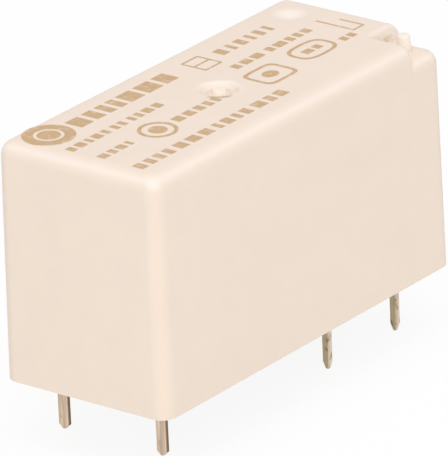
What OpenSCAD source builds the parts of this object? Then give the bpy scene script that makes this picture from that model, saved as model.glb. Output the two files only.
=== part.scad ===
// Low-profile board-mounting electromagnetic relay, one changeover contact.
// X runs along the body from the coil end to the contact end, Z is up.
// The origin is the middle of the seating plane, where the sealed underside meets the board.

/* [Cover] */
// Length of the cover at its lower rim
body_l = 29; // [27.5:0.05:33]
// Width of the cover at its lower rim
body_w = 12.46; // [12.3:0.02:14]
// Height of the cover above the board
body_h = 15.45; // [14.8:0.05:18]
// How far each side leans in from the rim to the top
draft_inset = 0.17; // [0:0.01:0.25]
// Wall thickness of the cover
cover_wall = 0.8; // [0.6:0.05:0.85]
// Radius of the upright corners
corner_r = 1; // [0.6:0.05:1.4]
// Radius of the edges round the top
top_edge_r = 1; // [0.4:0.05:1.2]

/* [Cover details] */
// Gate dimple, distance from the middle along X
gate_x = -0.6; // [-2:0.05:2]
// Gate dimple, distance from the middle along Y
gate_y = -0.4; // [-1.5:0.05:1.5]
// Rim radius of the gate dimple
gate_r = 1.1; // [0.8:0.05:1.6]
// Depth of the gate dimple
gate_depth = 0.3; // [0.16:0.02:0.4]
// Radius of the stub that the gate leaves in the dimple
gate_stub_r = 0.4; // [0.15:0.05:0.5]
// Distance of the stub's top below the top of the cover
gate_stub_drop = 0.08; // [0.03:0.01:0.14]
// Round ejector dish, distance from the contact end
dish_inset_x = 2.85; // [2.2:0.05:5]
// Round ejector dish, distance from the far long side
dish_inset_y = 2.83; // [2.2:0.05:4]
// Radius of the ejector dish
dish_r = 0.95; // [0.5:0.05:1.1]
// Depth of the ejector dish
dish_depth = 0.2; // [0.06:0.02:0.3]
// Length of the corner recess for the vent nib
notch_l = 3.3; // [2.6:0.05:4.2]
// Width of the corner recess for the vent nib
notch_w = 3.38; // [2.6:0.05:3.8]
// Depth of the corner recess for the vent nib
notch_depth = 1.35; // [0.9:0.05:1.5]
// Edge radius round the floor of the recess
notch_edge_r = 0.6; // [0.2:0.05:0.8]
// Diameter of the vent nib at its root
nib_d = 1; // [0.7:0.02:1.2]
// Diameter of the vent nib at its top
nib_tip_d = 0.7; // [0.44:0.02:0.7]
// Height of the vent nib above the recess floor
nib_h = 1.25; // [0.6:0.05:1.3]
// Vent nib, distance from the contact end
nib_inset_x = 1.7; // [1:0.05:2]
// Vent nib, distance from the near long side
nib_inset_y = 1.93; // [1:0.05:2.2]
// Inner side of the pocket beside the nib, distance from the contact end
pocket_inset_x = 1.85; // [1.55:0.05:2.2]
// Width of the pocket beside the nib
pocket_w = 0.85; // [0.4:0.05:1.2]
// Depth of the pocket beside the nib
pocket_depth = 0.45; // [0.2:0.05:0.6]
// Height of the pocket beside the nib
pocket_h = 0.6; // [0.3:0.05:0.7]

/* [Base and seal] */
// Thickness of the sealing resin
resin_t = 0.6; // [0.4:0.05:0.9]
// Thickness of the base plate
base_t = 1.6; // [1.4:0.05:1.8]
// Thickness of the barrier between coil and contacts
barrier_t = 0.6; // [0.4:0.05:0.64]
// Clearance between the barrier and the make contact's terminal
barrier_gap = 0.15; // [0.1:0.01:0.4]
// Height of the guide cheeks beside the slide
cheek_h = 1.2; // [0.4:0.05:1.3]

/* [Pins] */
// Coil pin row, distance from the coil end of the cover
coil_pin_inset = 2.65; // [2.45:0.05:2.7]
// Distance between the two coil pins
coil_pin_pitch = 7.5; // [7.4:0.05:7.8]
// Width of a coil pin
coil_pin_w = 0.8; // [0.6:0.05:1]
// Thickness of a coil pin
coil_pin_t = 0.25; // [0.2:0.05:0.5]
// Length of a coil pin below the board face
coil_pin_len = 3.65; // [2.5:0.05:5]
// Length of the pointed tips of the coil pins
coil_pin_point = 0.3; // [0.1:0.05:0.6]
// Last contact pin, distance from the contact end of the cover
contact_pin_inset = 2.85; // [2.5:0.05:3.2]
// Distance from one contact pin to the next along the body
contact_pitch = 3.5; // [3.4:0.02:3.8]
// Distance between the two rows of contact pins
contact_row_gap = 7.5; // [7:0.05:8]
// Side of a square contact pin
contact_pin_side = 0.42; // [0.36:0.02:0.6]
// Length of a contact pin below the board face
contact_pin_len = 4.1; // [2.5:0.05:5]
// Length of the pointed tips of the contact pins
contact_pin_point = 0.5; // [0.2:0.05:0.9]
// Height of the winding posts above the base
post_h = 3.7; // [3.4:0.05:4.2]

/* [Magnet system] */
// Clearance between the yoke and the end wall of the cover
coil_end_gap = 0.5; // [0.3:0.05:0.7]
// Clearance between the bobbin and the leaning side walls of the cover
coil_side_gap = 0.36; // [0.25:0.01:0.8]
// Clearance between the bobbin and the ceiling of the cover
coil_top_gap = 1.55; // [1.4:0.05:2]
// Thickness of the yoke
yoke_t = 1.1; // [0.9:0.02:1.14]
// Width of the yoke under the coil
yoke_w = 8.4; // [7:0.1:8.8]
// Width of the yoke between the coil pins
yoke_neck_w = 5.6; // [4.5:0.1:5.7]
// Diameter of the core
core_d = 3.6; // [3:0.05:4]
// Diameter of the riveted core end
core_tenon_d = 2.4; // [1.8:0.05:2.8]
// Diameter of the pole plate
pole_d = 6.2; // [5:0.1:7]
// Thickness of the pole plate
pole_t = 0.8; // [0.6:0.02:0.85]
// Thickness of the bobbin flanges
flange_t = 0.8; // [0.6:0.05:1]
// Wall of the bobbin tube
bobbin_wall = 0.65; // [0.4:0.05:0.9]
// Depth of the winding below the edges of the flanges
winding_inset = 0.5; // [0.4:0.05:1]
// Diameter of one wire turn, as wound
wire_d = 0.22; // [0.18:0.02:0.3]
// Thickness of the coil tape
tape_t = 0.14; // [0.08:0.02:0.2]

/* [Armature and drive] */
// Thickness of the armature
armature_t = 1.2; // [1:0.02:1.24]
// Width of the armature
armature_w = 8.4; // [7:0.1:9]
// Distance from the shoulders of the armature up to the slide
shoulder_gap = 1.2; // [0.9:0.05:1.5]
// Width of the tongue that carries the slide
tongue_w = 3; // [2.4:0.1:3.2]
// Thickness of the anti-stick shim
shim_t = 0.08; // [0.04:0.01:0.1]
// Thickness of the retaining spring
retainer_t = 0.2; // [0.12:0.02:0.24]
// Width of the retaining spring
retainer_w = 3.2; // [2.4:0.1:4]
// Length of the retaining spring under the yoke
retainer_l = 6.3; // [4:0.1:8]
// Height of the retaining spring behind the armature
retainer_h = 2.1; // [1.4:0.1:3]
// Travel of the slide from rest to pulled in
slide_travel = 0.7; // [0.5:0.02:0.72]
// Room between the slide and the ceiling of the cover
slide_headroom = 1.15; // [1:0.05:1.3]
// Thickness of the slide
slide_t = 1.1; // [0.8:0.05:1.2]
// Width of the slide
slide_w = 4.8; // [4.4:0.1:5.2]
// Width of the bars at the ends of the slide
slide_bar = 0.7; // [0.5:0.02:0.72]
// Running clearance of the drive
run_gap = 0.06; // [0.04:0.01:0.08]

/* [Contacts] */
// Thickness of the moving contact spring
leaf_t = 0.3; // [0.2:0.02:0.34]
// Width of the moving contact spring at its root
leaf_w = 4.4; // [3.6:0.1:4.8]
// Width of the tip that enters the slide
leaf_tip_w = 2.2; // [1.6:0.1:2.6]
// Distance from the slide down to the contacts
contact_drop = 2; // [1.8:0.05:2.6]
// Diameter of the contact heads
contact_d = 2.6; // [2:0.1:3]
// Thickness of the contact heads
contact_head_t = 0.5; // [0.36:0.02:0.52]
// Height of the dome on the moving contact
contact_dome = 0.15; // [0.12:0.01:0.2]
// Thickness of the terminal strip
strip_t = 0.4; // [0.3:0.02:0.44]
// Width of the fixed contact carriers
carrier_w = 3.8; // [3.2:0.1:4.2]

/* [Hidden] */
$fn = 64;
eps = 0.01;
fit_gap = 0.03;
touch_gap = 0.02;

// Cover
end_x = body_l / 2;
side_y = body_w / 2;
lean = draft_inset / body_h;
ceiling_z = body_h - cover_wall;
inner_r = max(corner_r - cover_wall, 0.2);
notch_floor_z = body_h - notch_depth;
nib_x = end_x - nib_inset_x;
nib_y = -side_y + nib_inset_y;
nib_root = 0.2;
nib_edge_r = 0.18;
pocket_x = end_x - pocket_inset_x;
pocket_z = notch_floor_z + 0.1;

// Base
base_z = resin_t;
floor_z = base_z + base_t;
base_l = body_l - 2 * (cover_wall + 2 * fit_gap);
base_w = body_w - 2 * (cover_wall + 2 * fit_gap);
base_r = inner_r;
foot_depth = 0.8;
foot_z = floor_z - foot_depth;
foot_w = 1;

// Pins
coil_row_x = -end_x + coil_pin_inset;
coil_row_y = coil_pin_pitch / 2;
nc_pin_x = end_x - contact_pin_inset;
common_pin_x = nc_pin_x - contact_pitch;
no_pin_x = common_pin_x - contact_pitch;
contact_row_y = contact_row_gap / 2;
contact_pins = [[no_pin_x, -contact_row_y], [common_pin_x, contact_row_y],
    [nc_pin_x, -contact_row_y]];

// Slide
slide_z = ceiling_z - slide_headroom - slide_t;
slide_top_z = slide_z + slide_t;
drive_z = slide_z + slide_t / 2;

// Contacts
leaf_offset = 0.15;
leaf_lift = 1;
leaf_rise = 0.2;
leaf_x = common_pin_x + leaf_offset;
leaf_z = floor_z + leaf_lift;
leaf_top_z = slide_top_z + leaf_rise;
leaf_angle = asin(slide_travel / (drive_z - leaf_z));
contact_z = slide_z - contact_drop;
contact_r = contact_d / 2;
shank_r = 0.6;
carrier_rim = 0.3;
carrier_top_z = contact_z + contact_r + carrier_rim;
moving_face_no_x = leaf_x - leaf_t - contact_head_t;
moving_face_nc_x = leaf_x + contact_head_t;
nc_face_x = moving_face_nc_x + touch_gap;
nc_strip_x = nc_face_x + contact_head_t;
dome_r = (contact_r * contact_r + contact_dome * contact_dome) / (2 * contact_dome);
dome_x = moving_face_no_x + dome_r - leaf_x;
dome_rise = contact_z - leaf_z;
dome_turned_x = leaf_x + dome_x * cos(leaf_angle) - dome_rise * sin(leaf_angle);
no_face_x = dome_turned_x - dome_r - touch_gap;
no_strip_x = no_face_x - contact_head_t - strip_t;

// Armature, on its knife edge between the coil and the barrier
swing_gap = 0.25;
armature_lift = 0.25;
tongue_rise = 0.4;
barrier_x = no_strip_x - barrier_gap - barrier_t;
barrier_top_z = slide_z - run_gap;
hinge_x = barrier_x - swing_gap - slide_travel - armature_t;
hinge_z = floor_z + armature_lift;
armature_angle = asin(slide_travel / (drive_z - hinge_z));
shoulder_z = slide_z - shoulder_gap;
tongue_top_z = slide_top_z + tongue_rise;
retainer_x = hinge_x + armature_t + 0.2;
retainer_start_x = hinge_x - retainer_l;

// Slide openings, from where the armature's tongue leans at rest
slot_x0 = hinge_x + (slide_z - hinge_z) * tan(armature_angle) - 2 * run_gap;
slot_x1 = hinge_x + (slide_top_z - hinge_z) * tan(armature_angle)
    + armature_t / cos(armature_angle) + run_gap;
slide_x0 = slot_x0 - slide_bar;
slide_x1 = leaf_x + run_gap + slide_bar;

// Magnet system, which fills the length between the end wall and the armature
yoke_back_x = -end_x + cover_wall + coil_end_gap;
yoke_top_z = floor_z + yoke_t;
bobbin_x = yoke_back_x + yoke_t;
pole_face_x = hinge_x - touch_gap - shim_t;
bobbin_end_x = pole_face_x - pole_t;
bobbin_l = bobbin_end_x - bobbin_x;
flange_w = body_w - 2 * (cover_wall + draft_inset + coil_side_gap);
flange_h = ceiling_z - coil_top_gap - yoke_top_z;
coil_z = yoke_top_z + flange_h / 2;
pole_r = pole_d / 2;
core_r = core_d / 2;
core_gap = 0.05;
bobbin_bore_r = core_r + core_gap;
bobbin_tube_r = bobbin_bore_r + bobbin_wall;
winding_r = min(flange_w, flange_h) / 2 - winding_inset;
tape_margin = 5 * wire_d;

// Winding posts and the blocks of the bobbin that hold them
post_top_z = floor_z + post_h;
block_w = 1.7;
block_h = 2.2;
block_lead = 0.8;
wrap_r = norm([coil_pin_w, coil_pin_t]) / 2 + wire_d / 2 + eps;
wrap_z = floor_z + block_h + wire_d;
wraps = 4;

// Rounded plate that stands on z and is centred on X and Y
module rounded_plate(l, w, r, z, h) {
    translate([0, 0, z]) linear_extrude(h) {
        square([l - 2 * r, w], center = true);
        square([l, w - 2 * r], center = true);
        for (sx = [-1, 1]) {
            for (sy = [-1, 1]) {
                translate([sx * (l / 2 - r), sy * (w / 2 - r)]) circle(r);
            }
        }
    }
}

// Box given by its lowest and highest corners
module box(lo, hi) {
    translate(lo) cube(hi - lo);
}

// Outline drawn in Y and Z, given a thickness along X
module along_x(x, t) {
    translate([x, 0, 0]) rotate([90, 0, 90]) linear_extrude(t) children();
}

// Round piece turned about the X axis, from a profile of radius and distance
module turned_x(x, z) {
    translate([x, 0, z]) rotate([0, 90, 0]) rotate_extrude() children();
}

// Leaning box with rounded upright corners and a rounded top edge
module drafted_shell(inset, top_z, r_side, r_top) {
    l = body_l - 2 * inset;
    w = body_w - 2 * inset;
    lean_in = lean * top_z;
    hull() {
        for (sx = [-1, 1]) {
            for (sy = [-1, 1]) {
                translate([sx * (l / 2 - r_side), sy * (w / 2 - r_side), 0])
                    cylinder(r = r_side, h = eps, $fn = 32);
                translate([sx * (l / 2 - lean_in - r_side), sy * (w / 2 - lean_in - r_side),
                    top_z - r_top]) corner_cap(r_side, r_top);
            }
        }
    }
}

// Corner of the top: a quarter-round edge carried round the corner radius
module corner_cap(r_side, r_top) {
    rotate_extrude($fn = 32) intersection() {
        union() {
            translate([max(r_side - r_top, 0), 0]) circle(min(r_top, r_side), $fn = 32);
            square([max(r_side - r_top, eps), r_top]);
        }
        square([r_side + 1, r_top + 1]);
    }
}

// Space above the recess floor, grown outwards by the given wall
module notch_space(grow, z) {
    box([end_x - notch_l - grow, -side_y - 1, z], [end_x + 1, -side_y + notch_w + grow, body_h + 1]);
}

// Vent nib, narrower towards its rounded top
module vent_nib() {
    root_r = nib_d / 2;
    flat_r = nib_tip_d / 2 - nib_edge_r;
    bend_z = nib_root + nib_h - nib_edge_r;
    translate([nib_x, nib_y, notch_floor_z - nib_root]) rotate_extrude()
        polygon(concat([[0, 0], [root_r, 0], [root_r, nib_root]],
            [for (a = [0:15:90]) [flat_r + nib_edge_r * cos(a), bend_z + nib_edge_r * sin(a)]],
            [[0, nib_root + nib_h]]));
}

// Moulded cover: a drafted shell with its gate dimple, ejector dish and nib recess
module cover() {
    color([0.95, 0.89, 0.83]) difference() {
        union() {
            difference() {
                drafted_shell(0, body_h, corner_r, top_edge_r);
                notch_space(0, notch_floor_z);
            }
            intersection() {
                drafted_shell(0, notch_floor_z, corner_r, notch_edge_r);
                notch_space(0, notch_floor_z - notch_edge_r - 1);
            }
            vent_nib();
        }
        difference() {
            translate([0, 0, -eps]) drafted_shell(cover_wall, ceiling_z, inner_r, inner_r);
            notch_space(cover_wall, notch_floor_z - cover_wall);
        }
        translate([gate_x, gate_y, body_h]) gate_dimple();
        translate([end_x - dish_inset_x, side_y - dish_inset_y, body_h]) ejector_dish();
        box([pocket_x, -side_y + notch_w - eps, pocket_z],
            [pocket_x + pocket_w, -side_y + notch_w + pocket_depth, pocket_z + pocket_h]);
    }
}

// Dimple with sloping sides and the stub that the gate leaves
module gate_dimple() {
    slope = 0.25;
    rotate_extrude() polygon([[0, 1], [gate_r, 1], [gate_r, 0], [gate_r - slope, -gate_depth],
        [gate_stub_r, -gate_depth], [gate_stub_r * 0.8, -gate_stub_drop], [0, -gate_stub_drop]]);
}

// Shallow round dish left by an ejector
module ejector_dish() {
    bowl_r = (dish_r * dish_r + dish_depth * dish_depth) / (2 * dish_depth);
    translate([0, 0, bowl_r - dish_depth]) sphere(bowl_r, $fn = 128);
}

// Base moulding: floor with terminal slots, the barrier and the guide for the slide
module base() {
    color([0.24, 0.25, 0.27]) difference() {
        union() {
            rounded_plate(base_l, base_w, base_r, base_z, base_t);
            barrier();
        }
        coil_pin_slots(base_z - 1, floor_z + 1, fit_gap);
        contact_pin_slots(base_z - 1, floor_z, fit_gap);
        foot_slots();
        retainer_slot();
    }
}

// Wall between coil and contacts, with a low middle that the slide runs on
module barrier() {
    half = base_w / 2 - lean * barrier_top_z - 2 * fit_gap;
    guide = slide_w / 2 + 2 * run_gap;
    along_x(barrier_x, barrier_t)
        polygon([[-half, floor_z - eps], [half, floor_z - eps], [half, barrier_top_z + cheek_h],
            [guide, barrier_top_z + cheek_h], [guide, barrier_top_z], [-guide, barrier_top_z],
            [-guide, barrier_top_z + cheek_h], [-half, barrier_top_z + cheek_h]]);
}

// Openings for the two coil pins
module coil_pin_slots(z0, z1, gap) {
    for (s = [-1, 1]) {
        translate([coil_row_x, s * coil_row_y, z0])
            linear_extrude(z1 - z0) square([coil_pin_t + 2 * gap, coil_pin_w + 2 * gap], center = true);
    }
}

// Openings for the three contact pins
module contact_pin_slots(z0, z1, gap) {
    for (p = contact_pins) {
        translate([p[0], p[1], z0])
            linear_extrude(z1 - z0) square(contact_pin_side + 2 * gap, center = true);
    }
}

// Pockets in the floor that take the feet of the contact terminals
module foot_slots() {
    g = fit_gap;
    deep = foot_z;
    high = floor_z + eps;
    pin = contact_pin_side / 2;
    box([no_pin_x - pin - g, -contact_row_y - foot_w / 2 - g, deep],
        [no_strip_x + strip_t + g, -contact_row_y + foot_w / 2 + g, high]);
    box([no_strip_x - g, -contact_row_y - foot_w / 2 - g, deep],
        [no_strip_x + strip_t + g, carrier_w / 2 + g, high]);
    box([common_pin_x - pin - g, contact_row_y - foot_w / 2 - g, deep],
        [leaf_x + strip_t + g, contact_row_y + foot_w / 2 + g, high]);
    box([leaf_x - g, -leaf_w / 2 - g, deep],
        [leaf_x + strip_t + g, contact_row_y + foot_w / 2 + g, high]);
    box([nc_strip_x - g, -contact_row_y - foot_w / 2 - g, deep],
        [nc_pin_x + pin + g, -contact_row_y + foot_w / 2 + g, high]);
    box([nc_strip_x - g, -contact_row_y - foot_w / 2 - g, deep],
        [nc_strip_x + strip_t + g, carrier_w / 2 + g, high]);
}

// Pocket in the floor for the retaining spring
module retainer_slot() {
    box([retainer_start_x - fit_gap, -retainer_w / 2 - fit_gap, floor_z - retainer_t],
        [retainer_x + retainer_t + fit_gap, retainer_w / 2 + fit_gap, floor_z + eps]);
}

// Resin that fills the underside level with the rim of the cover
module sealing_resin() {
    l = body_l - 2 * cover_wall - 0.03;
    w = body_w - 2 * cover_wall - 0.03;
    color([0.3, 0.27, 0.24]) difference() {
        rounded_plate(l, w, inner_r, 0, resin_t);
        coil_pin_slots(-1, resin_t + 1, 0);
        contact_pin_slots(-1, resin_t + 1, 0);
    }
}

// Bobbin: tube, two flanges and the blocks that hold the coil pins
module coil_bobbin() {
    edge_r = 0.8;
    inner_y = coil_row_y - 0.95;
    color([0.88, 0.86, 0.8]) difference() {
        union() {
            for (x = [bobbin_x, bobbin_end_x - flange_t]) {
                translate([x, 0, coil_z]) rotate([0, 90, 0])
                    rounded_plate(flange_h, flange_w, edge_r, 0, flange_t);
            }
            turned_x(bobbin_x, coil_z) square([bobbin_tube_r, bobbin_l]);
            for (s = [-1, 1]) {
                box([coil_row_x - block_lead, s * coil_row_y - block_w / 2, floor_z],
                    [bobbin_x + flange_t, s * coil_row_y + block_w / 2, floor_z + block_h]);
            }
        }
        turned_x(bobbin_x - 1, coil_z) square([bobbin_bore_r, bobbin_l + 2]);
        coil_pin_slots(floor_z - 1, floor_z + block_h + 1, fit_gap);
        for (y = [-side_y, inner_y]) {
            box([bobbin_x - 1, y, floor_z + block_h],
                [bobbin_x + flange_t + eps, y + side_y - inner_y, post_top_z + flange_t / 2]);
        }
    }
}

// Winding: layers of wire whose turns show at both ends of the tape
module coil_winding() {
    x0 = bobbin_x + flange_t;
    x1 = bobbin_end_x - flange_t;
    turn = wire_d / 2;
    long = x1 - x0;
    color([0.72, 0.36, 0.18]) turned_x(x0, coil_z) {
        translate([bobbin_tube_r + eps, 0]) square([winding_r - turn - bobbin_tube_r - eps, long]);
        translate([bobbin_tube_r + eps, tape_margin])
            square([winding_r - bobbin_tube_r - eps, long - 2 * tape_margin]);
        for (k = [0:4]) {
            for (at = [turn + k * wire_d, long - turn - k * wire_d]) {
                translate([winding_r - turn, at]) circle(turn, $fn = 16);
            }
        }
    }
}

// Tape wound once round the coil
module coil_tape() {
    x0 = bobbin_x + flange_t + tape_margin;
    x1 = bobbin_end_x - flange_t - tape_margin;
    color([0.85, 0.68, 0.2]) turned_x(x0, coil_z)
        translate([winding_r + eps, 0]) square([tape_t, x1 - x0]);
}

// Core with its riveted tenon and its pole plate
module core() {
    chamfer = 0.15;
    long = bobbin_l + yoke_t;
    color([0.62, 0.62, 0.64]) turned_x(yoke_back_x, coil_z)
        polygon([[0, 0], [core_tenon_d / 2, 0], [core_tenon_d / 2, yoke_t], [core_r, yoke_t],
            [core_r, long], [pole_r, long], [pole_r, long + pole_t - chamfer],
            [pole_r - chamfer, long + pole_t], [0, long + pole_t]]);
}

// Yoke: an angle with a long arm under the coil and a short arm behind it
module yoke() {
    neck_end_x = coil_row_x + 1.1;
    wide_x = neck_end_x + 0.5;
    back_top_z = coil_z + core_r + 2.2;
    neck = yoke_neck_w / 2;
    half = yoke_w / 2;
    corner = 0.6;
    color([0.68, 0.68, 0.7]) difference() {
        union() {
            translate([0, 0, floor_z]) linear_extrude(yoke_t)
                polygon([[yoke_back_x, -neck], [neck_end_x, -neck], [wide_x, -half],
                    [pole_face_x, -half], [pole_face_x, half], [wide_x, half],
                    [neck_end_x, neck], [yoke_back_x, neck]]);
            along_x(yoke_back_x, yoke_t)
                polygon([[-neck, floor_z], [neck, floor_z], [neck, back_top_z - corner],
                    [neck - corner, back_top_z], [-neck + corner, back_top_z],
                    [-neck, back_top_z - corner]]);
        }
        turned_x(yoke_back_x - 1, coil_z) square([core_tenon_d / 2 + touch_gap, yoke_t + 2]);
    }
}

// Turns a piece drawn in the pulled-in place back to its place at rest
module at_rest(x, z, angle) {
    translate([x, 0, z]) rotate([0, angle, 0]) translate([-x, 0, -z]) children();
}

// Armature: a plate on its knife edge, with a tongue that carries the slide
module armature() {
    half = armature_w / 2;
    tongue = tongue_w / 2;
    corner = 1;
    fillet = 0.5;
    side = [[half, hinge_z], [half, shoulder_z - corner], [half - corner, shoulder_z],
        [tongue + fillet, shoulder_z], [tongue, shoulder_z + fillet], [tongue, tongue_top_z]];
    color([0.66, 0.66, 0.69]) at_rest(hinge_x, hinge_z, armature_angle)
        along_x(hinge_x, armature_t)
        polygon(concat(side, [for (k = [5:-1:0]) [-side[k][0], side[k][1]]]));
}

// Thin foil on the armature that keeps it off the pole
module anti_stick_shim() {
    half_w = pole_r - 0.2;
    half_h = min(half_w, shoulder_z - coil_z - 0.1);
    color([0.8, 0.62, 0.3]) at_rest(hinge_x, hinge_z, armature_angle)
        along_x(hinge_x - shim_t, shim_t) translate([0, coil_z])
        square([2 * half_w, 2 * half_h], center = true);
}

// Flat spring that lies under the yoke and keeps the armature on its knife edge
module armature_retaining_spring() {
    color([0.78, 0.76, 0.7]) union() {
        box([retainer_start_x, -retainer_w / 2, floor_z - retainer_t],
            [retainer_x + retainer_t, retainer_w / 2, floor_z]);
        box([retainer_x, -retainer_w / 2, floor_z - retainer_t],
            [retainer_x + retainer_t, retainer_w / 2, hinge_z + retainer_h]);
    }
}

// Slide that carries the armature's travel over the barrier to the moving spring
module actuator_slide() {
    end_r = 0.5;
    arm_half = tongue_w / 2 + run_gap;
    tip_half = leaf_tip_w / 2 + run_gap;
    mid_x = (slide_x0 + slide_x1) / 2;
    tip_x0 = leaf_x - leaf_t - run_gap;
    over_z = slide_top_z + 1;
    hollow = 0.8;
    color([0.2, 0.36, 0.62]) difference() {
        translate([mid_x, 0, 0])
            rounded_plate(slide_x1 - slide_x0, slide_w, end_r, slide_z, slide_t);
        box([slot_x0, -arm_half, slide_z - 1], [slot_x1, arm_half, over_z]);
        box([tip_x0, -tip_half, slide_z - 1], [leaf_x + run_gap, tip_half, over_z]);
        box([slot_x1 + slide_bar, -hollow, drive_z], [tip_x0 - slide_bar, hollow, over_z]);
    }
}

// Moving contact spring: a leaf welded to the common terminal at its root
module moving_contact_spring() {
    root = leaf_w / 2;
    tip = leaf_tip_w / 2;
    taper = 0.8;
    waist_z = contact_z + contact_r + taper / 2;
    slit = 0.3;
    slit_z0 = leaf_z + root + taper / 2;
    slit_z1 = contact_z - contact_r - 2 * shank_r;
    color([0.85, 0.6, 0.35]) difference() {
        along_x(leaf_x - leaf_t, leaf_t)
            polygon([[-root, leaf_z], [root, leaf_z], [root, waist_z - taper], [tip, waist_z],
                [tip, leaf_top_z], [-tip, leaf_top_z], [-tip, waist_z], [-root, waist_z - taper]]);
        turned_x(leaf_x - leaf_t - 1, contact_z) square([shank_r + touch_gap, leaf_t + 2]);
        box([leaf_x - leaf_t - 1, -slit, slit_z0], [leaf_x + 1, slit, slit_z1]);
    }
}

// Double-headed rivet: domed on the make side and flat on the break side
module moving_contact() {
    across = leaf_t + 2 * contact_head_t;
    arc = asin(contact_r / dome_r);
    color([0.85, 0.85, 0.87]) turned_x(moving_face_no_x, contact_z)
        polygon(concat(
            [for (k = [0:6]) [dome_r * sin(arc * k / 6), dome_r - dome_r * cos(arc * k / 6)]],
            [[contact_r, contact_head_t], [shank_r, contact_head_t],
            [shank_r, contact_head_t + leaf_t], [contact_r, contact_head_t + leaf_t],
            [contact_r, across - 0.12], [contact_r - 0.12, across], [0, across]]));
}

// Fixed contact rivet, its head towards +X or -X
module fixed_contact(face_x, toward) {
    long = contact_head_t + strip_t;
    color([0.85, 0.85, 0.87]) translate([face_x, 0, contact_z])
        rotate([0, -90 * toward, 0]) rotate_extrude()
        polygon([[0, 0], [contact_r - 0.12, 0], [contact_r, 0.12], [contact_r, contact_head_t],
            [shank_r, contact_head_t], [shank_r, long], [0, long]]);
}

module normally_open_contact() {
    fixed_contact(no_face_x, 1);
}

module normally_closed_contact() {
    fixed_contact(nc_face_x, -1);
}

// Square pin with a four-sided point, its top at z1
module square_pin(x, y, z1) {
    half = contact_pin_side / 2;
    point = half * 0.45;
    bend_z = -contact_pin_len + contact_pin_point;
    outline = [[-half, z1], [-half, bend_z], [-point, -contact_pin_len],
        [point, -contact_pin_len], [half, bend_z], [half, z1]];
    translate([x, y, 0]) intersection() {
        along_x(-half, contact_pin_side) polygon(outline);
        rotate([0, 0, 90]) along_x(-half, contact_pin_side) polygon(outline);
    }
}

// Upright carrier of a fixed contact, drawn in Y and Z
module carrier_outline() {
    half = carrier_w / 2;
    low = -contact_row_y - foot_w / 2;
    corner = 0.5;
    polygon([[low, foot_z], [half, foot_z], [half, carrier_top_z - corner],
        [half - corner, carrier_top_z], [-half + corner, carrier_top_z],
        [-half, carrier_top_z - corner], [-half, floor_z + block_h], [low, floor_z + corner]]);
}

// Fixed contact terminal: pin, foot in the floor and upright carrier, one stamping
module fixed_terminal(pin_x, strip_x) {
    pin = contact_pin_side / 2;
    x0 = min(pin_x - pin, strip_x);
    x1 = max(pin_x + pin, strip_x + strip_t);
    color([0.78, 0.7, 0.56]) difference() {
        union() {
            square_pin(pin_x, -contact_row_y, foot_z + strip_t);
            box([x0, -contact_row_y - foot_w / 2, foot_z],
                [x1, -contact_row_y + foot_w / 2, foot_z + strip_t]);
            along_x(strip_x, strip_t) carrier_outline();
        }
        turned_x(strip_x - 1, contact_z) square([shank_r + touch_gap, strip_t + 2]);
    }
}

module normally_open_terminal() {
    fixed_terminal(no_pin_x, no_strip_x);
}

module normally_closed_terminal() {
    fixed_terminal(nc_pin_x, nc_strip_x);
}

// Common terminal: pin, foot and the upright that the moving spring is welded to
module common_terminal() {
    pin = contact_pin_side / 2;
    high = leaf_z + 1.8;
    step = 1;
    far = contact_row_y + foot_w / 2;
    color([0.78, 0.7, 0.56]) union() {
        square_pin(common_pin_x, contact_row_y, foot_z + strip_t);
        box([common_pin_x - pin, contact_row_y - foot_w / 2, foot_z],
            [leaf_x + strip_t, far, foot_z + strip_t]);
        along_x(leaf_x, strip_t)
            polygon([[-leaf_w / 2, foot_z], [far, foot_z], [far, leaf_z - step / 2],
                [leaf_w / 2, leaf_z + step / 2], [leaf_w / 2, high], [-leaf_w / 2, high]]);
    }
}

// Coil terminal: a blade with bevelled edges, a pointed tip and a winding post on top
module coil_terminal(side) {
    half = coil_pin_w / 2;
    thin = coil_pin_t / 2;
    bevel = thin * 0.3;
    point = half * 0.2;
    bend_z = -coil_pin_len + coil_pin_point;
    color([0.78, 0.7, 0.56]) translate([coil_row_x, side * coil_row_y, 0])
        intersection() {
            along_x(-thin, coil_pin_t)
                polygon([[-half, post_top_z], [-half, bend_z], [-point, -coil_pin_len],
                    [point, -coil_pin_len], [half, bend_z], [half, post_top_z]]);
            translate([0, 0, -coil_pin_len - 1]) linear_extrude(coil_pin_len + post_top_z + 2)
                polygon([[-thin, -half + bevel], [-thin + bevel, -half], [thin - bevel, -half],
                    [thin, -half + bevel], [thin, half - bevel], [thin - bevel, half],
                    [-thin + bevel, half], [-thin, half - bevel]]);
        }
}

module coil_terminal_a() {
    coil_terminal(-1);
}

module coil_terminal_b() {
    coil_terminal(1);
}

// Wire end: turns round the winding post and the short run to the coil
module wire_end(side) {
    y = side * coil_row_y;
    r = wire_d / 2;
    z = wrap_z + (wraps - 1) * wire_d;
    from = [coil_row_x + wrap_r, y, z];
    to = [bobbin_x + flange_t - touch_gap, y - side * r, z + 0.3];
    run = to - from;
    color([0.72, 0.36, 0.18]) union() {
        for (k = [0:wraps - 1]) {
            translate([coil_row_x, y, wrap_z + k * wire_d])
                rotate_extrude() translate([wrap_r, 0]) circle(r + eps / 2, $fn = 16);
        }
        translate(from) rotate([0, acos(run[2] / norm(run)), atan2(run[1], run[0])])
            cylinder(r = r, h = norm(run), $fn = 16);
    }
}

module coil_start_wire() {
    wire_end(-1);
}

module coil_end_wire() {
    wire_end(1);
}

cover();
base();
sealing_resin();
coil_bobbin();
coil_winding();
coil_tape();
core();
yoke();
armature();
anti_stick_shim();
armature_retaining_spring();
actuator_slide();
moving_contact_spring();
moving_contact();
common_terminal();
normally_open_terminal();
normally_open_contact();
normally_closed_terminal();
normally_closed_contact();
coil_terminal_a();
coil_terminal_b();
coil_start_wire();
coil_end_wire();
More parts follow.
